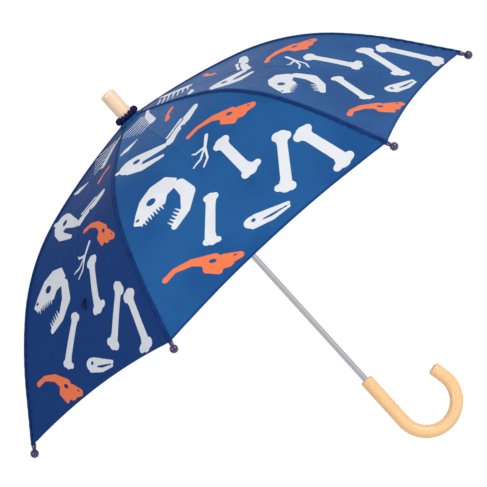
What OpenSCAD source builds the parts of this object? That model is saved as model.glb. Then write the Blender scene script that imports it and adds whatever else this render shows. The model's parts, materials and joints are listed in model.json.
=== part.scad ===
// Children's stick umbrella, open, standing along +Z with the ferrule up.
// The origin is on the shaft's axis, level with the lowest point of the crook handle.
// Ribs stand every 60 degrees, the first one in the crook's plane, along +X.

/* [Shaft and handle] */
// Outer radius of the steel shaft
shaft_r = 4; // [3.8:0.1:4.2]
// Radius of the round handle
handle_r = 8.6; // [8:0.1:9.4]
// Radius of the crook's centre line
crook_r = 39.5; // [36:0.5:44]
// Height of the handle's upper end
handle_top = 121; // [118:1:124]
// How far the crook bends round
crook_turn = 192; // [180:1:225]
// Length of the crook's straight end
crook_end = 14.5; // [0:0.5:20]
// Radius of the ferrule
ferrule_r = 10; // [9.5:0.1:11]
// Height of the ferrule's upper end
ferrule_top = 620.8; // [610:0.1:630]

/* [Canopy] */
// Height where the cloth's outer face meets the crown
apex_z = 576.2; // [570:0.1:580]
// Slope of the cloth at the crown, in degrees below level
apex_slope = 7; // [6:0.5:9]
// Thickness of the cloth's solid
cloth_t = 0.8; // [0.6:0.1:0.9]
// How far the hem rises between two ribs, along the cloth
hem_rise = 12; // [8:1:16]

/* [Frame] */
// Distance from the axis to the hinge pins of the crown and the runner
hinge_r = 9.5; // [9.4:0.1:9.6]
// Width of the ribs' channel
rib_w = 3; // [2.8:0.1:3]
// Height of the ribs' channel
rib_h = 2.2; // [2:0.1:2.4]
// Length along the cloth from the crown to the stretcher's joint
joint_arc = 202; // [200:1:204]
// Radius of the rib tips' balls
ball_r = 4.75; // [4.5:0.05:5]

/* [Hidden] */

steel = [0.74, 0.74, 0.77];
peach = [0.96, 0.8, 0.6];
navy = [0.13, 0.3, 0.55];
dark_navy = [0.13, 0.13, 0.33];

$fn = 48;
ribs = 6;
rib_step = 360 / ribs;

// The rib line: stretches of [length, turn in degrees], from the crown to the hem's corner
stretches = [[152, 10], [135, 27], [95, 9], [70, 0]];
apex_r = 10;
hem_arc = 451;
joint_gap = 0.3;
first_arc = 5;
rib_drop = 2.8;
joint_drop = 4.6;

eye_r = 2;
eye_w = 2.6;
neck = 4.6;
hinge_pin_r = 0.6;
pin_hole_r = 0.66;
crown_z = apex_z - 3;
crown_r = 12.5;
hub_r = 6.6;
slot_w = 3;

rivet_r = 0.7;
rivet_hole_r = 0.76;
cheek_t = 0.6;
ear_r = 1.9;
ear_gap = 0.2;

wall = 0.7;
shaft_bottom = 62;
shaft_top = 610;
bore_clearance = 0.06;
sleeve_r = 7.4;
sleeve_len = 40;

function total(list, n) = n <= 0 ? 0 : list[n - 1] + total(list, n - 1);
lengths = [for (s = stretches) s[0]];
turns = [for (s = stretches) s[1]];
function start_of(n) = total(lengths, n);
function slope_of(n) = apex_slope + total(turns, n);
function bend_r(n) = stretches[n][0] * 180 / (PI * stretches[n][1]);
function along(n, d) = let (a = slope_of(n))
    stretches[n][1] == 0 ? d * [cos(a), -sin(a)]
    : let (b = a + d * stretches[n][1] / stretches[n][0])
      bend_r(n) * [sin(b) - sin(a), cos(b) - cos(a)];
function corner(n) = n == 0 ? [apex_r, apex_z] : corner(n - 1) + along(n - 1, stretches[n - 1][0]);
function stretch_at(s, n = 0) = n + 1 >= len(stretches) || s < start_of(n + 1) ? n : stretch_at(s, n + 1);
function slope_at(s) = let (n = stretch_at(s))
    slope_of(n) + (s - start_of(n)) * stretches[n][1] / stretches[n][0];
// A point of the rib line, [distance from the axis, height], dropped below the cloth's outer face
function rib_point(s, drop = 0) = let (n = stretch_at(s), a = slope_at(s))
    corner(n) + along(n, s - start_of(n)) - drop * [sin(a), cos(a)];

crown_pivot = [hinge_r, crown_z];
rib_pivot = rib_point(joint_arc, joint_drop);
// The stretcher is as long as the rib's inner lever, so the runner's pins stay below the crown's
runner_z = 2 * rib_pivot[1] - crown_z;
stretcher_len = norm(rib_pivot - crown_pivot);
stretcher_slope = atan2(crown_z - rib_pivot[1], rib_pivot[0] - hinge_r);
// How far the ribs turn down to close, and the runner's height then
fold = 73;
runner_closed_z = crown_z - 2 * stretcher_len * sin(stretcher_slope + fold);

module at_rib(i) { rotate([0, 0, (i - 1) * rib_step]) children(); }
// Children drawn in a local X-Z frame whose X axis points down the slope
module on_rib(point, slope) { translate([point[0], 0, point[1]]) rotate([0, slope, 0]) children(); }
module across(r, width) { rotate([90, 0, 0]) cylinder(r = r, h = width, center = true); }
module block(x0, x1, width, z0, z1) { translate([x0, -width / 2, z0]) cube([x1 - x0, width, z1 - z0]); }

// The ribs' section: a channel open towards the axis
module channel() {
    web = 0.6;
    difference() {
        translate([-rib_h / 2, -rib_w / 2]) square([rib_h, rib_w]);
        translate([-rib_h / 2 - 1, -rib_w / 2 + web]) square([rib_h + 1 - web, rib_w - 2 * web]);
    }
}

// A short filling inside the channel, where one stretch of the rib line meets the next
module crimp(s) {
    on_rib(rib_point(s, rib_drop), slope_at(s)) block(-1, 1, rib_w - 0.6, -rib_h / 2 + 0.3, rib_h / 2 - 0.3);
}

module channel_along(s0, s1) {
    for (n = [0 : len(stretches) - 1]) {
        a = max(s0, start_of(n));
        b = min(s1, start_of(n) + stretches[n][0]);
        if (b > a) {
            if (a > s0) crimp(a);
            if (stretches[n][1] == 0)
                on_rib(rib_point(a, rib_drop), slope_of(n))
                    rotate([0, 90, 0]) rotate([0, 0, 180]) linear_extrude(b - a) channel();
            else {
                centre = corner(n) - bend_r(n) * [sin(slope_of(n)), cos(slope_of(n))];
                turn = (b - a) * stretches[n][1] / stretches[n][0];
                from = 90 - slope_of(n) - (b - start_of(n)) * stretches[n][1] / stretches[n][0];
                translate([centre[0], 0, centre[1]]) rotate([90, 0, 0]) rotate([0, 0, from])
                    rotate_extrude(angle = turn, $fn = 360)
                        translate([bend_r(n) - rib_drop, 0]) channel();
            }
        }
    }
}

// One short hinge pin for each rib, across the rib
module hinge_pins(z) {
    corner_gap = 0.8;
    for (i = [1:ribs]) at_rib(i) translate([hinge_r, 0, z])
        across(hinge_pin_r, 2 * hinge_r * tan(rib_step / 2) - 2 * corner_gap);
}

module slots(z0, z1) {
    for (i = [1:ribs]) at_rib(i) block(hub_r, crown_r + 1, slot_w, z0, z1);
}

module shaft() {
    color(steel) difference() {
        translate([0, 0, shaft_bottom]) cylinder(r = shaft_r, h = shaft_top - shaft_bottom);
        translate([0, 0, shaft_bottom - 1]) cylinder(r = shaft_r - wall, h = shaft_top - shaft_bottom + 2);
        for (z = [top_nose_z, bottom_nose_z])
            translate([-catch_w / 2 - 0.2, 0, z - nose_h - 2]) cube([catch_w + 0.4, shaft_r + 1, nose_h + 3.5]);
        translate([0, 0, stop_z]) rotate([0, 90, 0]) cylinder(r = pin_r, h = 3 * shaft_r, center = true);
        translate([0, 0, rivet_z]) rotate([0, 90, 0]) cylinder(r = pin_r, h = 3 * shaft_r, center = true);
    }
}

module rounded_end(r, round_r) {
    rotate_extrude() intersection() {
        square([r, round_r]);
        union() {
            square([r - round_r, round_r]);
            translate([r - round_r, 0]) circle(round_r);
        }
    }
}

module handle() {
    bend_z = crook_r + handle_r;
    edge = 1.5;
    end_round = 4;
    color(peach) difference() {
        union() {
            translate([0, 0, bend_z]) cylinder(r = handle_r, h = handle_top - edge - bend_z);
            translate([0, 0, handle_top - edge]) rounded_end(handle_r, edge);
            translate([crook_r, 0, bend_z]) rotate([90, 0, 0]) rotate([0, 0, 180])
                rotate_extrude(angle = crook_turn, $fn = 90) translate([crook_r, 0]) circle(handle_r, $fn = 36);
            translate([crook_r, 0, bend_z]) rotate([0, 180 - crook_turn, 0]) translate([crook_r, 0, -0.2]) {
                cylinder(r = handle_r - 0.15, h = crook_end + 0.2);
                translate([0, 0, crook_end]) rounded_end(handle_r - 0.15, end_round);
            }
        }
        translate([0, 0, shaft_bottom]) cylinder(r = shaft_r, h = handle_top);
    }
}

ferrule_bottom = crown_z + 5.4;
rosette_top = ferrule_bottom + 9.4;
module ferrule() {
    round_r = 3;
    color(peach) difference() {
        union() {
            translate([0, 0, ferrule_bottom]) cylinder(r = ferrule_r - 0.5, h = rosette_top - ferrule_bottom);
            translate([0, 0, rosette_top]) cylinder(r = ferrule_r, h = ferrule_top - round_r - rosette_top);
            translate([0, 0, ferrule_top - round_r]) rounded_end(ferrule_r, round_r);
        }
        translate([0, 0, ferrule_bottom - 1]) cylinder(r = shaft_r, h = shaft_top - ferrule_bottom + 1);
    }
}

module rosette() {
    inner_r = ferrule_r - 0.4;
    mid_r = 14;
    color(dark_navy) rotate_extrude() {
        translate([inner_r, ferrule_bottom + 0.2])
            square([mid_r - inner_r, rosette_top - ferrule_bottom - 0.4]);
        translate([mid_r, (ferrule_bottom + rosette_top) / 2]) circle(3.4);
    }
}

module canopy_cap() {
    z = ferrule_bottom;
    color(navy) rotate_extrude()
        polygon([[shaft_r, z - 1], [crown_r + 0.3, z - 1], [17.5, z - 2.6],
                 [17.5, z - 1.8], [crown_r + 0.6, z], [shaft_r, z]]);
}

rivet_z = crown_z - 1.6;
pin_r = 0.9;
crown_height = 3.4;
module crown() {
    color(dark_navy) difference() {
        translate([0, 0, crown_z - crown_height]) cylinder(r = crown_r, h = 2 * crown_height + 0.8);
        translate([0, 0, crown_z - 2 * crown_height]) cylinder(r = shaft_r, h = 5 * crown_height);
        slots(crown_z - 2 * crown_height, crown_z + 2 * crown_height);
        hinge_pins(crown_z);
        translate([0, 0, rivet_z]) rotate([0, 90, 0]) cylinder(r = pin_r, h = 3 * hub_r, center = true);
    }
}

module crown_pins() { color(steel) hinge_pins(crown_z); }

module crown_rivet() {
    color(steel) translate([0, 0, rivet_z]) rotate([0, 90, 0])
        cylinder(r = pin_r, h = 2 * hub_r - 0.4, center = true);
}

stop_z = runner_z + crown_height + 1.4;
module stop_pin() {
    color(steel) translate([0, 0, stop_z]) rotate([0, 90, 0]) cylinder(r = pin_r, h = 11, center = true);
}

// Spring catches: a leaf inside the tube with a nose that stands out of the slot, on the +Y side
catch_w = 1.8;
nose_h = 9;
nose_r = 6.6;
leaf_len = 26;
top_nose_z = runner_z - sleeve_len - 0.3;
bottom_nose_z = runner_closed_z - 12;
module catch_at(z) {
    leaf_y = 1.6;
    leaf_t = 0.6;
    foot_r = 0.8;
    translate([-catch_w / 2, 0, 0]) rotate([90, 0, 90]) linear_extrude(catch_w)
        polygon([[leaf_y, z - leaf_len], [leaf_y + leaf_t, z - leaf_len], [leaf_y + leaf_t, z - nose_h],
                 [nose_r, z - 1.5], [nose_r, z], [leaf_y, z]]);
    // the round foot that the leaf turns about
    translate([0, leaf_y + leaf_t / 2, z - leaf_len]) rotate([0, 90, 0])
        cylinder(r = foot_r, h = catch_w, center = true);
}
module top_catch() { color(steel) catch_at(top_nose_z); }
module bottom_catch() { color(steel) catch_at(bottom_nose_z); }

module runner() {
    window_h = nose_h + 2;
    color(dark_navy) difference() {
        union() {
            translate([0, 0, runner_z - sleeve_len]) cylinder(r = sleeve_r, h = sleeve_len);
            translate([0, 0, runner_z - sleeve_len]) cylinder(r = sleeve_r + 1.4, h = 5);
            translate([0, 0, runner_z - crown_height - 1.6]) cylinder(r = crown_r, h = 2 * crown_height + 1.6);
        }
        translate([0, 0, runner_z - sleeve_len - 1])
            cylinder(r = shaft_r + bore_clearance, h = sleeve_len + 3 * crown_height);
        slots(runner_z - crown_height, runner_z + 2 * crown_height);
        hinge_pins(runner_z);
        // the window that the lower catch springs into when the umbrella is shut
        translate([-catch_w / 2 - 0.4, 0, runner_z - 12 - window_h + 0.6])
            cube([catch_w + 0.8, sleeve_r + 1, window_h]);
    }
}

module runner_pins() { color(steel) hinge_pins(runner_z); }

module pivot_eye(hole_r) {
    difference() {
        union() {
            across(eye_r, eye_w);
            children();
        }
        across(hole_r, 3 * eye_w);
    }
}

// The inner half of a rib, from the crown's pin to the stretcher's joint
module rib_inner(i) {
    color(steel) at_rib(i) {
        on_rib(crown_pivot, apex_slope) pivot_eye(pin_hole_r) block(0, neck + 1, eye_w, -1, 0.9);
        channel_along(neck + 0.1, joint_arc - 3.2);
    }
}

// The outer half of a rib, from the stretcher's joint to the tip
module rib_outer(i) {
    pin_len = 9;
    up = joint_drop - rib_drop;
    color(steel) at_rib(i) {
        on_rib(rib_pivot, slope_at(joint_arc)) pivot_eye(rivet_hole_r)
            block(0, neck + 0.4, eye_w, -1, up + rib_h / 2 - 0.2);
        channel_along(joint_arc + neck, hem_arc + 1);
        on_rib(rib_point(hem_arc, rib_drop), slope_at(hem_arc)) {
            block(-4, 1, rib_w - 0.4, -rib_h / 2 + 0.2, rib_h / 2 - 0.2);
            rotate([0, 90, 0]) cylinder(r = 1, h = pin_len);
        }
    }
}

// The clip pinched on the rib's inner half, and the rivet through clip, rib and stretcher
module rib_joint(i) {
    up = joint_drop - rib_drop;
    clip_len = 10;
    ear_out = rib_w / 2 + cheek_t + ear_gap + cheek_t;
    color(steel) at_rib(i) on_rib(rib_pivot, slope_at(joint_arc)) {
        difference() {
            union() for (side = [-1, 1]) {
                translate([0, side * (rib_w + cheek_t) / 2, 0]) {
                    across(ear_r, cheek_t);
                    block(-clip_len, 0, cheek_t, -0.6, up + rib_h / 2 - 0.4);
                }
                block(-clip_len, -4, rib_w + 2 * cheek_t, -0.6, 0);
            }
            across(rivet_r + 0.02, 3 * rib_w);
        }
        across(rivet_r, 2 * ear_out + 0.4);
        for (side = [-1, 1]) translate([0, side * (ear_out + 0.45), 0]) across(1.4, 0.6);
    }
}

// A stretcher, from its fork at the rib's joint to its eye on the runner's pin
module stretcher(i) {
    ear_in = rib_w / 2 + cheek_t + ear_gap;
    fork = 11;
    bar_w = 2.6;
    color(steel) at_rib(i) on_rib(rib_pivot, 180 - stretcher_slope) {
        difference() {
            union() {
                for (side = [-1, 1]) translate([0, side * (ear_in + cheek_t / 2), 0]) {
                    across(ear_r, cheek_t);
                    block(0, fork, cheek_t, -1.1, 1.1);
                }
                block(fork - 3, fork, 2 * (ear_in + cheek_t), -1.1, 1.1);
            }
            across(rivet_hole_r, 20);
        }
        difference() {
            block(fork - 1, stretcher_len - neck + 0.2, bar_w, -1.1, 1.1);
            block(fork + 2, stretcher_len - neck - 4, bar_w - 1.2, -0.5, 2);
        }
        translate([stretcher_len, 0, 0]) pivot_eye(pin_hole_r) block(-neck, 0, eye_w, -1, 1);
    }
}

module rib_tip(i) {
    sleeve_len = 9;
    color(dark_navy) at_rib(i) on_rib(rib_point(hem_arc + 1.2, rib_drop), slope_at(hem_arc)) rotate([0, 90, 0])
        difference() {
            union() {
                cylinder(r = 2.4, h = sleeve_len);
                translate([0, 0, 13.2]) sphere(ball_r);
                cylinder(r = 1.9, h = 12);
            }
            translate([0, 0, -1]) cylinder(r = 1, h = 8.8);
        }
}

// A point of the cloth on the gore of rib 1: t is 0 on the rib and +-1 on the panel's centre line
function cloth(s, t, drop) = let (p = rib_point(s, drop), k = abs(t) / 2, c = cos(rib_step), w = sin(rib_step))
    [p[0] * (1 - k + k * c), sign(t) * p[0] * k * w, p[1]];
function hem(t) = hem_arc - 1 - hem_rise * (1 - pow(1 - abs(t), 2));

// A gore of cloth, centred on a rib, between two lengths along it; the lower edge may follow the hem
module gore(s0, s1, rows, cols, to_hem) {
    edge = 0.995;
    stop = [for (b = [0:cols]) let (t = edge * (2 * b / cols - 1)) to_hem ? hem(t) : s1];
    skin = function (drop) [for (a = [0:rows]) for (b = [0:cols])
        let (t = edge * (2 * b / cols - 1)) cloth(s0 + (stop[b] - s0) * a / rows, t, drop)];
    n = (rows + 1) * (cols + 1);
    row = cols + 1;
    outer = [for (a = [0 : rows - 1]) for (b = [0 : cols - 1]) let (k = a * row + b)
        each [[k, k + 1, k + row], [k + 1, k + row + 1, k + row]]];
    inner = [for (f = outer) [f[2] + n, f[1] + n, f[0] + n]];
    rim = concat([for (b = [0:cols]) b], [for (a = [1:rows]) a * row + cols],
                 [for (b = [cols - 1 : -1 : 0]) rows * row + b], [for (a = [rows - 1 : -1 : 1]) a * row]);
    m = len(rim);
    sides = [for (k = [0 : m - 1]) let (p = rim[k], q = rim[(k + 1) % m])
        each [[q, p, p + n], [q, p + n, q + n]]];
    polyhedron(concat(skin(0), skin(cloth_t)), [for (f = concat(outer, inner, sides)) [f[0], f[1], f[2]]]);
}

module canopy_upper(i) { color(navy) at_rib(i) gore(first_arc, joint_arc - joint_gap, 8, 8, false); }
module canopy_lower(i) { color(navy) at_rib(i) gore(joint_arc + joint_gap, hem_arc, 12, 10, true); }

// The folded end of the closing strap, sewn on by the centre line of the panel between ribs 4 and 5
module tie_strap() {
    p = cloth(330, -0.93, 0);
    color(dark_navy) at_rib(5) translate(p) rotate([0, 0, -rib_step / 2]) rotate([0, 46, 0])
        translate([-8, -4, 1.8]) cube([16, 8, 1.6]);
}

shaft();
handle();
ferrule();
rosette();
canopy_cap();
crown();
crown_pins();
crown_rivet();
stop_pin();
top_catch();
bottom_catch();
runner();
runner_pins();
tie_strap();
for (i = [1:ribs]) {
    rib_inner(i);
    rib_outer(i);
    rib_joint(i);
    stretcher(i);
    rib_tip(i);
    canopy_upper(i);
    canopy_lower(i);
}
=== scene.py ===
"""Looks of the children's umbrella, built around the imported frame.

It makes the printed cloth, seams, ruffle, crook handle, strap end, rib tips, materials, light and camera.

Lengths are in metres. A panel is the cloth between two ribs, and its print is drawn in panel places:
u is millimetres across the panel from its centre line, s is millimetres along the cloth from the crown.
"""

import json
import math

import bpy
import numpy as np
from mathutils import Matrix, Vector


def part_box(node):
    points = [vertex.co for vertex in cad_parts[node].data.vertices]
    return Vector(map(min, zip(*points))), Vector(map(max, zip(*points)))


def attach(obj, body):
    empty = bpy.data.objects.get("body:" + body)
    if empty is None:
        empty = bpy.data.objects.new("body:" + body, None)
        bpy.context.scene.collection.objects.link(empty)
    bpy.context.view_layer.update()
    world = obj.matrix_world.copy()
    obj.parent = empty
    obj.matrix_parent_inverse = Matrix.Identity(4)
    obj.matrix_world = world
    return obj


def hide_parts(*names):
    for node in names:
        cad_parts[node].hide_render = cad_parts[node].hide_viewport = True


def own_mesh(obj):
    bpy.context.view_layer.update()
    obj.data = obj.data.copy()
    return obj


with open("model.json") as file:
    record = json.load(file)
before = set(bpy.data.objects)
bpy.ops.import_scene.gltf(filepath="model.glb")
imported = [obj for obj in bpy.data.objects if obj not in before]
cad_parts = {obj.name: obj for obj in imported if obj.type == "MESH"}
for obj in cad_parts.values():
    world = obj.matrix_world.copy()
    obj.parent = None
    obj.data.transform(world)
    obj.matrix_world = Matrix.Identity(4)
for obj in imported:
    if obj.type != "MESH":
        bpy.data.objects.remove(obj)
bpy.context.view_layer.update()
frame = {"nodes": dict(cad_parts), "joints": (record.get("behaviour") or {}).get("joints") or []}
joints = {j["name"]: j for j in frame["joints"]}

MM = 0.001
RIBS = range(1, 7)
RIB_STEP = math.radians(60)

# The rib line, as the CAD frame bends it: stretches of (length, turn), from START_R at the crown
HINGE = joints["rib_1_fold"]["pos_m"]
START_R = HINGE[0] + 0.5 * MM
APEX_Z = HINGE[2] + 3 * MM
START_SLOPE = math.radians(7)
STRETCHES = ((152 * MM, 10), (135 * MM, 27), (95 * MM, 9), (70 * MM, 0))
FIRST = 5 * MM
JOINT = 202 * MM
CORNER = 451 * MM
HEM_RISE = 12 * MM
CLOTH_DROP = 0.4 * MM

# How the sewn cloth stands off its flat panel: sizes outwards, and how far each one reaches
SAG, SAG_SPAN = 3.5 * MM, 0.47
CREASE, CREASE_WIDTH = 0.55 * MM, 2.2 * MM
PUCKER, PUCKER_REACH = 0.7 * MM, 15 * MM
PUCKER_WAVES = (1.6 * MM, 2.7 * MM)
SOFT_WAVE = 0.5 * MM
CORNER_PULL, CORNER_REACH = 0.55 * MM, 26 * MM

FAR = 50.0  # a print distance that is nowhere near any motif


# ---------------------------------------------------------------- small mesh helpers


def new_piece(name, verts, faces, smooth=True):
    """A mesh object with this name, linked into the scene."""
    mesh = bpy.data.meshes.new(name)
    mesh.from_pydata([tuple(v) for v in np.asarray(verts, float)], [], faces)
    mesh.validate()
    mesh.update()
    if smooth:
        mesh.polygons.foreach_set("use_smooth", [True] * len(mesh.polygons))
    piece = bpy.data.objects.new(name, mesh)
    bpy.context.scene.collection.objects.link(piece)
    return piece


def grid_faces(rows, cols, closed=False):
    """Quads over rows x cols points, stored row by row; closed joins the last column to the first."""
    wide = cols if closed else cols - 1
    faces = []
    for a in range(rows - 1):
        for b in range(wide):
            c = (b + 1) % cols
            faces.append((a * cols + b, a * cols + c, (a + 1) * cols + c, (a + 1) * cols + b))
    return faces


def lathe(name, profile, sides, warp=None):
    """A closed ring or a solid of revolution about +Z from (radius, height) points; warp moves its points."""
    rows = []
    for r, z in profile:
        for b in range(sides):
            angle = 2 * math.pi * b / sides
            rr, zz = warp(r, z, angle) if warp else (r, z)
            rows.append((rr * math.cos(angle), rr * math.sin(angle), zz))
    return new_piece(name, rows, grid_faces(len(profile), sides, closed=True))


def store(piece, **values):
    """Keeps one number for each point of the mesh under each name, for its material to read."""
    for key, numbers in values.items():
        layer = piece.data.attributes.new(key, "FLOAT", "POINT")
        layer.data.foreach_set("value", np.asarray(numbers, np.float32))


def finish_piece(piece, body, material, slot, *replaced):
    """Gives a piece its material and its CAD body, and hides the CAD nodes it takes the place of; slot is not
    used.
    """
    piece.data.materials.append(material)
    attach(piece, body)
    if replaced:
        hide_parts(*replaced)
    return piece


# ---------------------------------------------------------------- the rib line and the cloth


def rib_line(s, drop=0.0):
    """Distance from the axis, height and slope at lengths s along the cloth, drop below it."""
    left = np.array(s, float)
    r = np.full(left.shape, START_R)
    z = np.full(left.shape, APEX_Z)
    slope = np.full(left.shape, START_SLOPE)
    start = START_SLOPE
    for n, (length, degrees) in enumerate(STRETCHES):
        turn = math.radians(degrees)
        d = np.clip(left, 0, None if n == len(STRETCHES) - 1 else length)
        if turn:
            bend_r = length / turn
            end = start + d / bend_r
            r += bend_r * (np.sin(end) - math.sin(start))
            z += bend_r * (np.cos(end) - math.cos(start))
            slope += d / bend_r
        else:
            r += d * math.cos(start)
            z -= d * math.sin(start)
        left = left - d
        start += turn
    return r - drop * np.sin(slope), z - drop * np.cos(slope), slope


def hem(t):
    """Length along the cloth to the hem, t from 0 on a rib to 1 on a panel's centre line."""
    return CORNER - 1 * MM - HEM_RISE * (1 - (1 - t) ** 2)


def ease(x, low, high):
    """A soft step from 0 at low to 1 at high."""
    k = np.clip((x - low) / (high - low), 0, 1)
    return k * k * (3 - 2 * k)


def relief(s, t, half, phase):
    """How far the sewn cloth stands off its flat panel: sag, fold crease, puckers and soft waves."""
    from_seam = t * half
    from_fold = (1 - t) * half
    sag = -SAG * np.sin(np.pi * s / SAG_SPAN) * t * (2 - t)
    crease = CREASE * np.exp(-((from_fold / CREASE_WIDTH) ** 2))
    crease = crease * ease(s, 0.03, 0.12) * (1 - ease(s, 0.26, 0.36))
    gather = ease(s, 0.25, 0.40) * np.exp(-from_seam / PUCKER_REACH) * (1 - np.exp(-from_seam / (2.5 * MM)))
    short, long = PUCKER_WAVES
    wave = np.sin(s / short + phase + 9 * from_seam) + 0.7 * np.sin(s / long + 2.3 * phase)
    soft = np.sin(s / 0.031 + phase) * np.sin(from_seam / 0.027 + 0.5) * ease(t, 0.05, 0.4) * (1 - t)
    pull = np.sin((s - CORNER) / (8 * MM) + from_seam / (5 * MM) + phase)
    near_corner = ease(s, CORNER - 0.09, CORNER)
    corner = near_corner * np.exp(-from_seam / CORNER_REACH) * (1 - np.exp(-from_seam / (6 * MM)))
    return sag + crease + PUCKER * gather * wave + SOFT_WAVE * soft + CORNER_PULL * corner * pull


def cloth_points(rib, side, s, t, drop):
    """Points of the cloth on one side of a rib: side 1 is towards the next rib, -1 towards the one before."""
    r, z, slope = rib_line(s)
    here = (rib - 1) * RIB_STEP
    mid = here + side * RIB_STEP / 2
    there = here + side * RIB_STEP
    k = t / 2
    half = r * math.sin(RIB_STEP / 2)
    flat = np.cos(slope) * math.cos(RIB_STEP / 2)
    size = np.sqrt(flat**2 + np.sin(slope) ** 2)
    out = relief(s, t, half, phase=1.7 * rib + 0.9 * side) - drop
    x = r * ((1 - k) * math.cos(here) + k * math.cos(there)) + out * np.sin(slope) / size * math.cos(mid)
    y = r * ((1 - k) * math.sin(here) + k * math.sin(there)) + out * np.sin(slope) / size * math.sin(mid)
    return np.stack([x, y, z + out * flat / size], axis=-1), half


# ---------------------------------------------------------------- the print, as distances to its edges in mm
# Every shape takes places p = (x, y) and gives the distance to its edge, negative inside.


def dot(x, y, rx, ry=None):
    """A disc, or an ellipse where ry is given."""
    ry = ry or rx
    return lambda p: (np.hypot((p[0] - x) / rx, (p[1] - y) / ry) - 1) * min(rx, ry)


def stroke(x0, y0, x1, y1, r0, r1=None):
    """A round-ended stroke whose radius goes from r0 to r1."""
    r1 = r0 if r1 is None else r1
    dx, dy = x1 - x0, y1 - y0

    def distance(p):
        h = np.clip(((p[0] - x0) * dx + (p[1] - y0) * dy) / (dx * dx + dy * dy), 0, 1)
        return np.hypot(p[0] - x0 - h * dx, p[1] - y0 - h * dy) - (r0 + (r1 - r0) * h)

    return distance


def outline(*points, soft=1.0):
    """A polygon with its corners rounded by soft."""

    def distance(p):
        best = np.full(p[0].shape, np.inf)
        inside = np.zeros(p[0].shape, bool)
        for (x0, y0), (x1, y1) in zip(points, points[1:] + points[:1]):
            best = np.minimum(best, stroke(x0, y0, x1, y1, 0.0)(p))
            crosses = (y0 > p[1]) != (y1 > p[1])
            at = (x1 - x0) * (p[1] - y0) / (y1 - y0 if y1 != y0 else 1e-9) + x0
            inside ^= crosses & (p[0] < at)
        return np.where(inside, -best, best) - soft

    return distance


def joined(*shapes):
    """All the shapes together."""
    return lambda p: np.minimum.reduce([shape(p) for shape in shapes])


def without(shape, *holes):
    """The shape with the holes cut out of it."""
    return lambda p: np.maximum(shape(p), -joined(*holes)(p))


def long_bone(length, waist, knob, foot=0.0):
    """A limb bone with two knobs at each end; foot turns the far end out to one side."""
    h = length / 2
    return joined(
        stroke(-h + 8, 0, h - 8, 0, waist, waist * 1.1),
        stroke(-h + 14, 0, -h + 3, 0, waist, knob * 1.15),
        stroke(h - 16, 0, h - 3, foot * 0.4, waist, knob * 1.1),
        dot(-h + 1, knob * 0.75, knob * 0.8),
        dot(-h + 3, -knob * 0.8, knob * 0.75),
        dot(h - 1, -knob * 0.7, knob * 0.75),
        stroke(h - 3, knob * 0.5, h - 1 - foot * 0.3, knob * 0.8 + foot, knob * 0.8, knob * 0.6),
    )


def crested_skull(length):
    """A duck-billed head with a long swept-back crest."""
    k = length / 92
    head = joined(
        stroke(-45 * k, 9 * k, -34 * k, -1 * k, 3.4 * k, 3.0 * k),
        stroke(-34 * k, -1 * k, -14 * k, -7 * k, 3.0 * k, 4.4 * k),
        stroke(-14 * k, -7 * k, 12 * k, -5 * k, 4.4 * k, 8.0 * k),
        stroke(8 * k, -1 * k, 27 * k, 0, 10.5 * k, 8.0 * k),
        stroke(24 * k, -2 * k, 42 * k, -5 * k, 8.2 * k, 4.2 * k),
        stroke(2 * k, 6 * k, 17 * k, 10 * k, 3.6 * k, 4.2 * k),
    )
    return without(head, dot(10 * k, -4 * k, 4.6 * k, 2.6 * k), dot(36 * k, -6 * k, 2.6 * k, 1.1 * k))


def toothed_skull():
    """A big hunter's skull that faces left, with its jaw open."""
    upper = outline((38, -6), (30, -22), (8, -27), (-14, -20), (-31, -6), (-43, 6), (-37, 13),
                    (-24, 9), (-8, 8), (4, 12), (14, 3), (26, 2), soft=1.6)
    teeth = [stroke(x, 9, x - 1.5, 17 + 2 * (n % 2), 1.9, 0.5) for n, x in enumerate(range(-36, 0, 5))]
    jaw = joined(
        stroke(36, 6, 35, 26, 8.5, 10.5),
        stroke(35, 26, 16, 45, 10.5, 6.5),
        stroke(16, 45, -11, 54, 6.5, 4.2),
    )
    fangs = [
        stroke(x, 50 - 0.45 * (x + 10), x - 2.5, 41 - 0.45 * (x + 10), 1.7, 0.5)
        for x in range(-10, 14, 5)
    ]
    eye, nostril, cheek = dot(-6, -6, 7, 5.5), dot(-36, 3, 3.2, 2.0), stroke(20, 6, 30, 8, 2)
    skull = without(joined(upper, *teeth), eye, nostril, cheek)
    return joined(skull, jaw, *fangs)


def beaked_skull():
    """A bird-like head with a long open bill."""
    head = joined(
        dot(-15, 0, 19, 14),
        stroke(-12, -5, 34, -11, 10, 4.2),
        stroke(-14, 9, 6, 12, 7, 5.5),
        stroke(6, 12, 36, 5, 5.5, 2.4),
        stroke(-38, 6, -28, 3, 2.4, 3.8),
    )
    return without(head, dot(-8, -3, 5.6, 4.0), stroke(6, 3.0, 42, -3, 1.0, 3.0))


def slim_skull():
    """A small narrow head with a straight bill."""
    head = joined(
        dot(-20, 1, 13, 9),
        stroke(-16, -3, 31, -5, 6.0, 2.4),
        stroke(-22, 8, 6, 7, 3.8, 3.0),
        stroke(6, 7, 31, 0, 3.0, 1.7),
    )
    return without(head, dot(-19, -1, 3.2, 2.8), stroke(-6, 2.6, 27, -1.6, 0.9, 1.2))


def hand_bones():
    """An arm bone with three curved fingers."""
    return joined(
        stroke(0, -28, 1, -8, 2.7, 2.2),
        stroke(1, -8, -12, 1, 1.8, 1.6),
        stroke(-12, 1, -17, 0, 1.6, 1.1),
        stroke(1, -8, -3, 12, 1.7, 1.5),
        stroke(-3, 12, -12, 24, 1.5, 1.1),
        stroke(1, -8, 7, 12, 1.7, 1.6),
        stroke(7, 12, 3, 26, 1.6, 1.1),
    )


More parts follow.
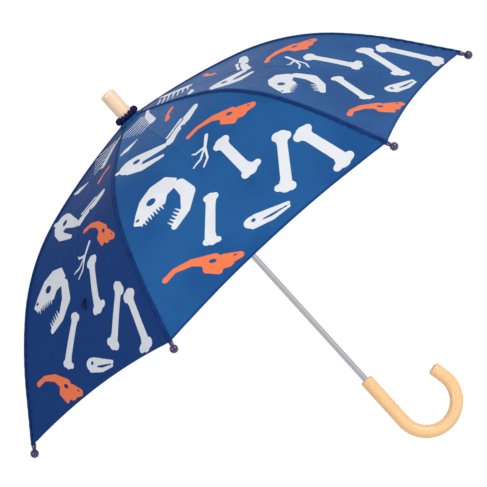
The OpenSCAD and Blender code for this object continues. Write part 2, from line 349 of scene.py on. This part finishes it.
def rib_cage():
    """Slim ribs that run out from a thicker spine."""
    strokes = [stroke(-32 + 3 * n, -22 + 8 * n, 14, -26 + 8 * n, 0.9, 1.7) for n in range(7)]
    spine = [stroke(10, 24, 19, -14, 5.5, 4.0), stroke(19, -14, 34, -40, 4.0, 1.2)]
    return joined(*strokes, *spine)


def armour_plate():
    """A knobbly plate of three lobes."""
    plate = joined(
        stroke(20, -22, 8, -10, 5.5, 7.5),
        stroke(8, -10, -8, 6, 6.5, 5.0),
        stroke(-8, 6, -16, 18, 5.0, 6.5),
        stroke(-2, -14, -22, 8, 2.4, 1.8),
    )
    return without(plate, stroke(-10, -2, 2, -12, 1.2), dot(2, 2, 2.6))


def placed(shape, u, s, degrees=0.0, flip=1):
    """The shape with its middle at (u, s), rotated from +u towards +s."""
    c, d = math.cos(math.radians(degrees)), math.sin(math.radians(degrees))
    return lambda p: shape((c * (p[0] - u) + d * (p[1] - s), flip * (-d * (p[0] - u) + c * (p[1] - s))))


WHITE_PRINT = joined(
    placed(toothed_skull(), -69, 268, -2),
    placed(beaked_skull(), -43, 175, 40, flip=0.8),
    placed(long_bone(72, 7.0, 8.4, foot=9), 41, 303, 92, flip=-1),
    placed(long_bone(80, 7.0, 8.8, foot=5), 80, 364, 123),
    placed(long_bone(80, 7.2, 9.4, foot=7), 129, 389, 80),
    placed(long_bone(70, 6.6, 6.8, foot=6), -39, 352, 129, flip=-1),
    placed(hand_bones(), 19, 258, 41),
    placed(slim_skull(), 15, 408, 24),
    placed(rib_cage(), -2, 66, -8),
    placed(armour_plate(), 26, 177, 30, flip=0.85),
    placed(joined(stroke(-14, 0, -4, 1, 2.0, 5.6), stroke(-4, 1, 17, 0, 5.6, 1.0)), -37, 108, -14),
)
ORANGE_PRINT = joined(
    placed(crested_skull(101), 66, 234, 37),
    placed(crested_skull(108), -88, 400, 37),
    placed(joined(stroke(-11, -3, 0, 2, 4.2, 2.8), stroke(0, 2, 12, 1, 2.8, 4.2)), 30, 116, 118),
)


# ---------------------------------------------------------------- materials


class Nodes:
    """Short ways to build one material's node tree."""

    def __init__(self, name):
        self.material = bpy.data.materials.new(name)
        self.material.use_nodes = True
        self.tree = self.material.node_tree
        self.shader = next(n for n in self.tree.nodes if n.type == "BSDF_PRINCIPLED")

    def add(self, kind, **settings):
        node = self.tree.nodes.new(kind)
        for key, value in settings.items():
            if hasattr(node, key):
                setattr(node, key, value)
            else:
                node.inputs[key.replace("_", " ")].default_value = value
        return node

    def link(self, out, into):
        self.tree.links.new(out, into)

    def set(self, **values):
        for key, value in values.items():
            self.shader.inputs[key.replace("_", " ")].default_value = value

    def math(self, operation, a, b):
        node = self.add("ShaderNodeMath", operation=operation)
        for socket, value in zip(node.inputs, (a, b)):
            if isinstance(value, (int, float)):
                socket.default_value = value
            else:
                self.link(value, socket)
        return node.outputs[0]

    def attribute(self, name):
        return self.add("ShaderNodeAttribute", attribute_name=name).outputs["Fac"]

    def mix(self, factor, a, b):
        """Two colours, each a tuple or another node's output, mixed by factor."""
        node = self.add("ShaderNodeMix", data_type="RGBA")
        for socket, value in ((node.inputs[0], factor), (node.inputs[6], a), (node.inputs[7], b)):
            if isinstance(value, (int, float)):
                socket.default_value = value
            elif isinstance(value, tuple):
                socket.default_value = (*value, 1.0)
            else:
                self.link(value, socket)
        return node.outputs[2]

    def map(self, value, low, high, to_low=0.0, to_high=1.0, kind="SMOOTHSTEP"):
        node = self.add("ShaderNodeMapRange", interpolation_type=kind)
        self.link(value, node.inputs[0])
        for n, number in enumerate((low, high, to_low, to_high), start=1):
            node.inputs[n].default_value = number
        return node.outputs[0]

    def noise(self, scale, detail=4.0, roughness=0.55):
        place = self.add("ShaderNodeTexCoord")
        node = self.add("ShaderNodeTexNoise", Scale=scale, Detail=detail, Roughness=roughness)
        self.link(place.outputs["Object"], node.inputs["Vector"])
        return node.outputs[0]

    def bump(self, height, strength, distance):
        node = self.add("ShaderNodeBump", Strength=strength, Distance=distance)
        self.link(height, node.inputs["Height"])
        self.link(node.outputs[0], self.shader.inputs["Normal"])

    def colour(self, out):
        self.link(out, self.shader.inputs["Base Color"])

    def roughness(self, out):
        self.link(out, self.shader.inputs["Roughness"])


NAVY = (0.0125, 0.092, 0.270)
NAVY_DEEP = (0.0080, 0.070, 0.230)
NAVY_PAINTED_SHADE = (0.0015, 0.034, 0.168)  # painted shade: a deeper navy that stands in for the light falling off on panels facing away from the lamps
PRINT_WHITE = (0.70, 0.71, 0.73)
PRINT_ORANGE = (0.83, 0.180, 0.066)


def cloth_material():
    """Printed navy cloth: a fine plain weave, soft mottling, the print's two colours, and painted shade on
    some panels and along the hem.
    """
    n = Nodes("printed_cloth")
    navy = n.mix(n.map(n.noise(9.0), 0.35, 0.65), NAVY_DEEP, NAVY)
    # painted shade: the navy deepened panel by panel, and in a thin line along the hem, where less light
    # falls
    navy = n.mix(n.attribute("turned"), navy, NAVY_PAINTED_SHADE)
    edge = n.math("MULTIPLY", n.math("SUBTRACT", n.noise(420.0, 2.0), 0.5), 0.7)
    white = n.math("ADD", n.attribute("white_mm"), edge)
    orange = n.math("ADD", n.attribute("orange_mm"), edge)
    worn = n.mix(n.map(n.noise(55.0), 0.3, 0.7), PRINT_WHITE, (0.66, 0.675, 0.71))
    one = n.mix(n.map(white, 0.35, -0.35), navy, worn)
    two = n.mix(n.map(orange, 0.35, -0.35), one, PRINT_ORANGE)
    n.colour(two)
    n.roughness(n.map(n.noise(60.0), 0.3, 0.7, 0.56, 0.68, "LINEAR"))
    warp = n.math("SINE", n.math("MULTIPLY", n.attribute("across_mm"), 9.0), 0.0)
    weft = n.math("SINE", n.math("MULTIPLY", n.attribute("along_mm"), 9.0), 0.0)
    weave = n.math("MULTIPLY", warp, weft)
    n.bump(n.math("ADD", n.math("MULTIPLY", weave, 0.25), n.noise(240.0)), 0.10, 0.0006)
    n.set(Sheen_Weight=0.05, Sheen_Roughness=0.5, Specular_IOR_Level=0.10)
    n.shader.inputs["Sheen Tint"].default_value = (0.55, 0.66, 1.0, 1.0)
    return n.material


def plain_cloth_material(name, dark, light, stitch_mm=0.0):
    """Unprinted navy cloth or tape; stitch_mm draws rows of thread that far apart along it."""
    n = Nodes(name)
    colour = n.mix(n.map(n.noise(60.0), 0.35, 0.65), dark, light)
    height = n.noise(700.0, 2.0)
    if stitch_mm:
        beat = n.math("SINE", n.math("MULTIPLY", n.attribute("along_mm"), 2 * math.pi / stitch_mm), 0.0)
        row = n.attribute("stitch")
        thread = n.math("MULTIPLY", n.map(beat, -0.2, 0.5), row)
        colour = n.mix(thread, colour, (0.003, 0.006, 0.05))
        height = n.math("ADD", height, n.math("MULTIPLY", thread, 1.5))
    n.colour(colour)
    n.bump(height, 0.35, 0.0004)
    n.set(Roughness=0.75, Sheen_Weight=0.02, Specular_IOR_Level=0.12)
    return n.material


def plastic_material(name, base, other, rough, coat=0.0, grain=0.05):
    """Moulded plastic whose colour drifts a little between base and other."""
    n = Nodes(name)
    n.colour(n.mix(n.map(n.noise(40.0), 0.3, 0.7), base, other))
    n.roughness(n.map(n.noise(180.0), 0.3, 0.7, rough * 0.85, rough * 1.15, "LINEAR"))
    n.bump(n.noise(900.0, 2.0), grain, 0.0002)
    n.set(Coat_Weight=coat, Coat_Roughness=0.12)
    return n.material


def metal_material(name, base, other, rough, streak, grain):
    """Plated or bright steel, with fine drawing lines along the height."""
    n = Nodes(name)
    place = n.add("ShaderNodeTexCoord")
    stretch = n.add("ShaderNodeMapping")
    stretch.inputs["Scale"].default_value = (1.0, 1.0, 0.03)
    n.link(place.outputs["Object"], stretch.inputs["Vector"])
    lines = n.add("ShaderNodeTexNoise", Scale=streak, Detail=3.0)
    n.link(stretch.outputs[0], lines.inputs["Vector"])
    n.colour(n.mix(n.map(lines.outputs[0], 0.3, 0.7), base, other))
    n.roughness(n.map(lines.outputs[0], 0.3, 0.7, rough * 0.8, rough * 1.3, "LINEAR"))
    n.bump(lines.outputs[0], grain, 0.0001)
    n.set(Metallic=1.0)
    return n.material


cloth_mat = cloth_material()
seam_mat = plain_cloth_material("seam_tape", (0.002, 0.024, 0.120), (0.003, 0.036, 0.165), stitch_mm=3.2)
cap_mat = plain_cloth_material("cap_cloth", NAVY_DEEP, NAVY)
ruffle_mat = plain_cloth_material("ruffle_cloth", (0.0045, 0.005, 0.055), (0.008, 0.010, 0.085))
strap_mat = plain_cloth_material("strap_cloth", (0.004, 0.016, 0.085), (0.006, 0.022, 0.11))
grip_mat = plastic_material(
    "peach_plastic", (0.905, 0.548, 0.250), (0.920, 0.572, 0.272), 0.30, coat=0.08, grain=0.012)
ferrule_mat = plastic_material(
    "pale_peach_plastic", (0.95, 0.66, 0.44), (0.96, 0.68, 0.46), 0.24, coat=0.2, grain=0.012)
ball_mat = plastic_material("tip_plastic", (0.030, 0.016, 0.095), (0.040, 0.022, 0.12), 0.16, coat=0.6)
hub_mat = plastic_material("hub_plastic", (0.012, 0.014, 0.06), (0.018, 0.02, 0.08), 0.3, coat=0.2)
tube_mat = metal_material("plated_tube", (0.96, 0.96, 0.97), (0.92, 0.92, 0.94), 0.09, 60.0, grain=0.002)
frame_mat = metal_material("frame_steel", (0.56, 0.57, 0.60), (0.46, 0.47, 0.51), 0.30, 300.0, grain=0.05)


# ---------------------------------------------------------------- camera

WIDTH = 0.628  # how much of the object's plane the frame takes in
LENS, SENSOR = 1200.0, 36.0
AIM = Vector((0.001, 0.0, 0.358))
VIEW_AZIMUTH, VIEW_ELEVATION, ROLL = math.radians(-6.2), math.radians(3.7), math.radians(42.2)


def add_camera():
    """A long lens that looks at AIM, rolled so that the umbrella leans."""
    data = bpy.data.cameras.new("camera")
    data.lens, data.sensor_width = LENS, SENSOR
    camera = bpy.data.objects.new("camera", data)
    bpy.context.scene.collection.objects.link(camera)
    a, e = VIEW_AZIMUTH, VIEW_ELEVATION
    back = Vector((math.sin(a) * math.cos(e), -math.cos(a) * math.cos(e), math.sin(e)))
    right = Vector((math.cos(a), math.sin(a), 0.0))
    up = back.cross(right)
    tilted_right = math.cos(ROLL) * right - math.sin(ROLL) * up
    tilted_up = math.sin(ROLL) * right + math.cos(ROLL) * up
    turn = Matrix((tilted_right, tilted_up, back)).transposed().to_4x4()
    distance = WIDTH * LENS / SENSOR
    camera.matrix_world = Matrix.Translation(AIM + back * distance) @ turn
    data.clip_start, data.clip_end = 0.1, 500.0
    bpy.context.scene.camera = camera


add_camera()


# ---------------------------------------------------------------- canopy

ROW_STEP = 1.8 * MM
COLS = 88
FLAP = 14 * MM  # how far the lower cloth runs up under the upper cloth
LAP_DROP = 0.7 * MM
HEM_FOLD = ((-0.5, 0.3), (-0.6, 0.9), (0.4, 1.2), (7.0, 1.1))  # mm (back from the hem, below the cloth)
UPPER_SLOPE, LOWER_SLOPE = 14, 47  # degrees, the cloth's mean fall above and below the rib joint

# Panel by panel, from the one between ribs 6 and 1: how much painted shade deepens its navy where the light
# falls off, and the mm that its print lies nearer the hem, as the cloth happened to be cut
PANEL_PAINTED_SHADE = (0.1, 0.5, 0.9, 0.5, 0.95, 0.0)
PRINT_LOWER = (6, 4, -3, 5, 6, 0)


def squash_to_rib(piece):
    """Gives the piece a mesh of its own."""
    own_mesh(piece)


def half_gore(name, rib, side, first, last, lap, to_hem):
    """The cloth from a rib to the panel's centre line, with its print distances, between two lengths."""
    t = np.linspace(0, 1, COLS)
    stop = hem(t) if to_hem else np.full(COLS, last)
    rows = max(4, int((last - first) / ROW_STEP))
    steps = [first + (stop - first) * k / rows for k in range(rows + 1)]
    drops = [np.full(COLS, CLOTH_DROP + (LAP_DROP if lap and s[0] < JOINT - 1 * MM else 0)) for s in steps]
    printed = [True] * len(steps)
    if to_hem:
        for back, drop in HEM_FOLD:
            steps.append(stop - back * MM)
            drops.append(np.full(COLS, CLOTH_DROP + drop * MM))
            printed.append(False)
    s = np.array(steps)
    tt = np.broadcast_to(t, s.shape)
    points, half = cloth_points(rib, side, s, tt, np.array(drops))
    piece = new_piece(name, points.reshape(-1, 3), grid_faces(len(steps), COLS))
    if side > 0:
        piece.data.flip_normals()
    u = (-side * (1 - tt) * half / MM).ravel()
    along = (s / MM).ravel()
    panel = (rib if side > 0 else rib - 1) % 6
    print_place = (u, along - PRINT_LOWER[panel])
    keep = np.repeat(printed, COLS)
    # painted shade in a thin line along the hem, where the cloth folds under
    hem_painted_shade = ease(s, stop - 2.6 * MM, stop - 1.2 * MM).ravel() * to_hem
    store(
        piece,
        white_mm=np.where(keep, WHITE_PRINT(print_place), FAR),
        orange_mm=np.where(keep, ORANGE_PRINT(print_place), FAR),
        across_mm=u,
        along_mm=along,
        turned=np.maximum(PANEL_PAINTED_SHADE[panel], hem_painted_shade),
    )
    width = float(half.max())
    length = float(last - first + 8 * MM * to_hem)
    area = float((half[:, 0] * np.gradient(s[:, 0])).sum())
    return piece, (width, length), min(area, 0.99 * width * length)


def add_canopy():
    """Twelve upper and twelve lower pieces of cloth, each riding on the half rib beside it."""
    for rib in RIBS:
        for side, label in ((1, "left"), (-1, "right")):
            for part, first, last, body, slope in (
                ("upper", FIRST, JOINT, f"inner_rib_body_{rib}", UPPER_SLOPE),
                ("lower", JOINT - FLAP, CORNER, f"outer_rib_body_{rib}", LOWER_SLOPE),
            ):
                name = f"cloth_{part}_{rib}_{label}"
                low = part == "lower"
                piece, flat, area = half_gore(name, rib, side, first, last, lap=low, to_hem=low)
                finish_piece(piece, body, cloth_mat, "cloth", f"canopy_{part}_{rib}")
                squash_to_rib(piece)


add_canopy()


# ---------------------------------------------------------------- seams over the ribs


# Half of a seam's section, from its middle out: mm (across, up), and how much thread shows
SEAM_MIDDLE = (0, 1.0, 0)
SEAM_SIDE = (
    (0.9, 0.85, 0), (1.7, 0.35, 0.2), (2.1, 0.05, 1),
    (2.5, 0.3, 0.2), (3.1, 0.15, 0), (3.4, -0.5, 0),
)


def seam(name, rib, first, last):
    """A felled seam: a rounded ridge with a sunk row of stitches along each side."""
    left = tuple((-across, up, thread) for across, up, thread in reversed(SEAM_SIDE))
    profile = (*left, SEAM_MIDDLE, *SEAM_SIDE)
    steps = np.linspace(first, last, max(8, int((last - first) / (1.6 * MM))))
    r, z, slope = rib_line(steps)
    taper = 0.55 + 0.45 * ease(steps, 0.02, 0.16)
    ripple = 0.12 * MM * np.sin(steps / (2.1 * MM)) * ease(steps, 0.2, 0.4)
    lean = math.cos(RIB_STEP / 2)
    turn = (rib - 1) * RIB_STEP
    points, stitch = [], []
    for rr, zz, a, k, wave in zip(r, z, slope, taper, ripple):
        fall = math.sin(a) * lean * 0.5
        for across, up, thread in profile:
            side = k * across * MM
            out = k * up * MM + wave - fall * abs(side) * 0.6
            x = rr + out * math.sin(a)
            points.append((
                x * math.cos(turn) - side * math.sin(turn),
                x * math.sin(turn) + side * math.cos(turn),
                zz + out * math.cos(a),
            ))
            stitch.append(thread)
    wide = len(profile)
    piece = new_piece(name, points, grid_faces(len(steps), wide))
    store(piece, stitch=stitch, along_mm=np.repeat(steps / MM, wide))
    return piece


for rib in RIBS:
    upper_seam = seam(f"seam_upper_{rib}", rib, FIRST, JOINT + 1 * MM)
    finish_piece(upper_seam, f"inner_rib_body_{rib}", seam_mat, "dark_cloth")
    lower_seam = seam(f"seam_lower_{rib}", rib, JOINT, CORNER - 0.5 * MM)
    finish_piece(lower_seam, f"outer_rib_body_{rib}", seam_mat, "dark_cloth")


# ---------------------------------------------------------------- cap, ruffle, handle, strap and rib tips


def add_cap():
    """The cloth's middle, drawn up like a small tent from the panels to the ferrule, under the ruffle."""
    _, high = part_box("canopy_cap")
    reach = np.linspace(0, 30 * MM, 16)
    radii, heights, _ = rib_line(reach)
    inner, outer = 9 * MM, 22 * MM

    def tent(r, share, angle):
        phi = angle % RIB_STEP - RIB_STEP / 2
        level = float(np.interp(r * math.cos(phi) / math.cos(RIB_STEP / 2), radii, heights)) + 0.15 * MM
        return r, level + share * (high.z - level)

    profile = []
    for k in range(13):
        q = k / 12
        profile.append((inner + (outer - inner) * q, (1 - q) ** 1.7))
    profile.append((outer - 0.5 * MM, -0.08))
    cap = lathe("cap_cloth", profile, 72, tent)
    finish_piece(cap, "shaft_body", cap_mat, "cloth", "canopy_cap")


def add_ruffle():
    """The gathered cloth ring between ferrule and canopy: deep pleats that make a saw-tooth edge."""
    low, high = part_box("rosette")
    mid_z = (low.z + high.z) / 2 - 1.9 * MM
    mid_r = high.x - 4.2 * MM
    fat, tall, folds = 3.5 * MM, 3.2 * MM, 14

    def frill(r, z, angle):
        out = (r - mid_r) / fat
        up = (z - mid_z) / tall
        pleat = math.sin(folds * angle + 0.5 * math.sin(3 * angle))
        fine = math.sin(2 * folds * angle + 1.3)
        r += (1.1 * pleat * max(0.0, out) + 0.25 * fine * abs(out)) * MM
        lift = 1.9 * pleat * max(0.0, up) - 0.7 * pleat * max(0.0, -up) + 0.2 * fine * abs(up)
        return r, z + lift * MM

    turns = 24
    profile = []
    for k in range(turns + 1):
        q = 2 * math.pi * k / turns
        profile.append((mid_r + fat * math.cos(q), mid_z + tall * math.sin(q)))
    ring = lathe("ruffle", profile, 360, frill)
    finish_piece(ring, "shaft_body", ruffle_mat, "dark_cloth", "rosette")


def add_handle():
    """The crook: straight from its collar, round the bend, to a rounded end."""
    low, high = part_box("handle")
    radius = (high.y - low.y) / 2
    bend_r = 39.5 * MM
    centre = Vector((bend_r, 0, bend_r + radius))
    turn = math.radians(192)
    straight_end = 14.5 * MM
    collar = 2.2 * MM
    path = []  # places along the crook: (centre, the angle of its outer side, share of the full radius)
    for down, share in ((0, 0.42), (0, 0.80), (0.35 * MM, 0.93), (1.2 * MM, 0.99), (collar, 1.0)):
        path.append((Vector((0, 0, high.z - down)), math.pi, share))
    for k in range(1, 13):
        z = high.z - collar + (centre.z - high.z + collar) * k / 12
        path.append((Vector((0, 0, z)), math.pi, 1.0))
    steps = 96
    for k in range(1, steps + 1):
        angle = math.pi + turn * k / steps
        path.append((centre + bend_r * Vector((math.cos(angle), 0, math.sin(angle))), angle, 1.0))
    end, angle = path[-1][0], math.pi + turn
    ahead = Vector((-math.sin(angle), 0, math.cos(angle)))
    for k in range(1, 5):
        path.append((end + ahead * straight_end * k / 4, angle, 1.0))
    end = path[-1][0]
    for k in range(1, 10):
        q = math.radians(10 * k)
        share = 0.56 + 0.44 * math.cos(q) if k < 9 else 0.25
        path.append((end + ahead * 3.8 * MM * math.sin(q), angle, share))
    sides = 56
    points = []
    for place, angle, share in path:
        out = Vector((math.cos(angle), 0, math.sin(angle)))
        for b in range(sides):
            q = 2 * math.pi * b / sides
            points.append(place + radius * share * (math.cos(q) * out + math.sin(q) * Vector((0, 1, 0))))
    faces = grid_faces(len(path), sides, closed=True)
    faces.append(tuple(range((len(path) - 1) * sides, len(path) * sides)))
    crook = new_piece("crook_handle", points, faces)
    finish_piece(crook, "shaft_body", grip_mat, "grip", "handle")


def add_strap():
    """The closing strap's folded end, sewn on near the middle of the panel between ribs 4 and 5."""
    width, length, steps = 11 * MM, 17 * MM, 28
    s0 = 0.318  # how far along the cloth it is sewn on
    t0, half_there = 0.93, 0.16  # its place across the half panel, and that half panel's width
    points = []
    for k in range(steps + 1):
        q = k / steps
        lift = 0.6 * MM + 3.6 * MM * math.sin(math.pi * q) ** 2
        s = s0 + 15 * MM * (1 - math.cos(math.pi * q)) / 2 * (1.0 - 0.25 * math.sin(math.pi * q))
        for b in range(7):
            across = (b / 6 - 0.5) * width * (1 - 0.35 * q)
            t = t0 + across / half_there
            place, _ = cloth_points(5, -1, np.array([s]), np.array([t]), np.array([-lift]))
            points.append(place[0])
    piece = new_piece("strap_end", points, grid_faces(steps + 1, 7))
    thick = piece.modifiers.new("thickness", "SOLIDIFY")
    thick.thickness = 0.9 * MM
    finish_piece(piece, "outer_rib_body_5", strap_mat, "dark_cloth", "tie_strap")
    squash_to_rib(piece)


def add_tips():
    """The moulded rib tips: a stout stem out of the hem's corner, and a round ball."""
    low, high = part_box("rib_tip_1")
    cad_r = (high.y - low.y) / 2
    ball_r = cad_r + 0.9 * MM
    ball = Vector((high.x - cad_r, 0, low.z + cad_r))
    slope = float(rib_line(np.array([CORNER]))[2][0])
    ahead = Vector((math.cos(slope), 0, -math.sin(slope)))
    centre = ball - ahead * 4.2 * MM
    stem_mm = ((0.05, -14.0), (2.4, -14.0), (3.1, -13.3), (3.0, -8.0), (2.5, -6.4))
    profile = [(r * MM, z * MM) for r, z in stem_mm]
    for k in range(17):
        q = math.radians(156 - 156 * k / 16)
        profile.append((max(0.05 * MM, ball_r * math.sin(q)), ball_r * -math.cos(math.pi - q)))
    up = Vector((0, 1, 0)).cross(ahead)
    for rib in RIBS:
        tip = lathe(f"ball_tip_{rib}", profile, 32)
        turn = Matrix.Rotation((rib - 1) * RIB_STEP, 4, "Z")
        axes = Matrix((up, Vector((0, 1, 0)), ahead)).transposed().to_4x4()
        tip.data.transform(turn @ Matrix.Translation(centre) @ axes)
        finish_piece(tip, f"outer_rib_body_{rib}", ball_mat, "dark_plastic", f"rib_tip_{rib}")


add_cap()
add_ruffle()
add_handle()
add_strap()
add_tips()


# ---------------------------------------------------------------- materials of the CAD pieces that show

CAD_LOOKS = {
    "ferrule": ferrule_mat,
    "shaft": tube_mat,
    "crown": hub_mat,
    "runner": hub_mat,
}
for name, node in frame["nodes"].items():
    look = CAD_LOOKS.get(name, ball_mat if name.startswith("rib_tip") else frame_mat)
    node.data.materials.clear()
    node.data.materials.append(look)


# ---------------------------------------------------------------- floor and light


def add_floor():
    """A pale floor under the hanging umbrella, outside the picture."""
    half, z = 1.5, -0.30
    floor = new_piece("floor", [(-half, -half, z), (half, -half, z), (half, half, z), (-half, half, z)],
                      [(0, 1, 2, 3)], smooth=False)
    n = Nodes("floor")
    n.set(Base_Color=(0.92, 0.92, 0.92, 1.0), Roughness=0.9, Specular_IOR_Level=0.1)
    floor.data.materials.append(n.material)


LIGHTS_AIM = Vector((0, 0, 0.4))


def add_light(name, place, size, power, colour=(1.0, 1.0, 1.0)):
    """A round lamp at place, turned to the middle of the umbrella."""
    data = bpy.data.lights.new(name, "AREA")
    data.shape, data.size, data.energy, data.color = "DISK", size, power, colour
    light = bpy.data.objects.new(name, data)
    bpy.context.scene.collection.objects.link(light)
    light.location = place
    light.rotation_mode = "QUATERNION"
    light.rotation_quaternion = (Vector(place) - LIGHTS_AIM).to_track_quat("Z", "Y")


ROOM_LEFT, ROOM_RIGHT = (0.74, 0.77, 0.82, 1), (1.5, 1.5, 1.5, 1)
DOOR_TOWARDS = (0.96, -0.28, -0.06)
DOOR_EDGE = (0.95, 0.985)  # cosines of the angles at which the door's soft edge starts and ends
DOOR_DARKNESS = 0.1


def add_world(around=0.58):
    """White behind the object, and a grey room around it, darker to the left and with a dark door."""
    world = bpy.data.worlds.new("studio")
    bpy.context.scene.world = world
    world.use_nodes = True
    tree = world.node_tree
    tree.nodes.clear()
    out = tree.nodes.new("ShaderNodeOutputWorld")
    mix = tree.nodes.new("ShaderNodeMixShader")
    seen, room = tree.nodes.new("ShaderNodeBackground"), tree.nodes.new("ShaderNodeBackground")
    path = tree.nodes.new("ShaderNodeLightPath")
    seen.inputs["Color"].default_value = (1, 1, 1, 1)
    room.inputs["Strength"].default_value = around
    place = tree.nodes.new("ShaderNodeTexCoord")
    parts = tree.nodes.new("ShaderNodeSeparateXYZ")
    ramp = tree.nodes.new("ShaderNodeValToRGB")
    tree.links.new(place.outputs["Generated"], parts.inputs[0])
    tree.links.new(parts.outputs["X"], ramp.inputs[0])
    for stop, position, colour in zip(ramp.color_ramp.elements, (0.0, 1.0), (ROOM_LEFT, ROOM_RIGHT)):
        stop.position, stop.color = position, colour
    towards = tree.nodes.new("ShaderNodeVectorMath")
    towards.operation = "DOT_PRODUCT"
    towards.inputs[1].default_value = DOOR_TOWARDS
    door = tree.nodes.new("ShaderNodeMapRange")
    for n, number in enumerate((*DOOR_EDGE, 1.0, DOOR_DARKNESS), start=1):
        door.inputs[n].default_value = number
    dim = tree.nodes.new("ShaderNodeMix")
    dim.data_type, dim.blend_type = "RGBA", "MULTIPLY"
    dim.inputs[0].default_value = 1.0
    tree.links.new(place.outputs["Generated"], towards.inputs[0])
    tree.links.new(towards.outputs["Value"], door.inputs[0])
    tree.links.new(ramp.outputs[0], dim.inputs[6])
    tree.links.new(door.outputs[0], dim.inputs[7])
    tree.links.new(dim.outputs[2], room.inputs["Color"])
    tree.links.new(path.outputs["Is Camera Ray"], mix.inputs[0])
    tree.links.new(room.outputs[0], mix.inputs[1])
    tree.links.new(seen.outputs[0], mix.inputs[2])
    tree.links.new(mix.outputs[0], out.inputs[0])


add_floor()
add_world()
add_light("key", (1.9, -2.2, 1.2), 1.4, 45.0, (1.0, 0.99, 0.97))
add_light("fill", (-1.8, -2.0, 1.4), 1.4, 30.0, (0.99, 0.99, 1.0))
add_light("rim", (0.6, 1.8, 1.8), 1.2, 9.0)

scene = bpy.context.scene
scene.view_settings.view_transform = "Standard"
scene.view_settings.look = "None"
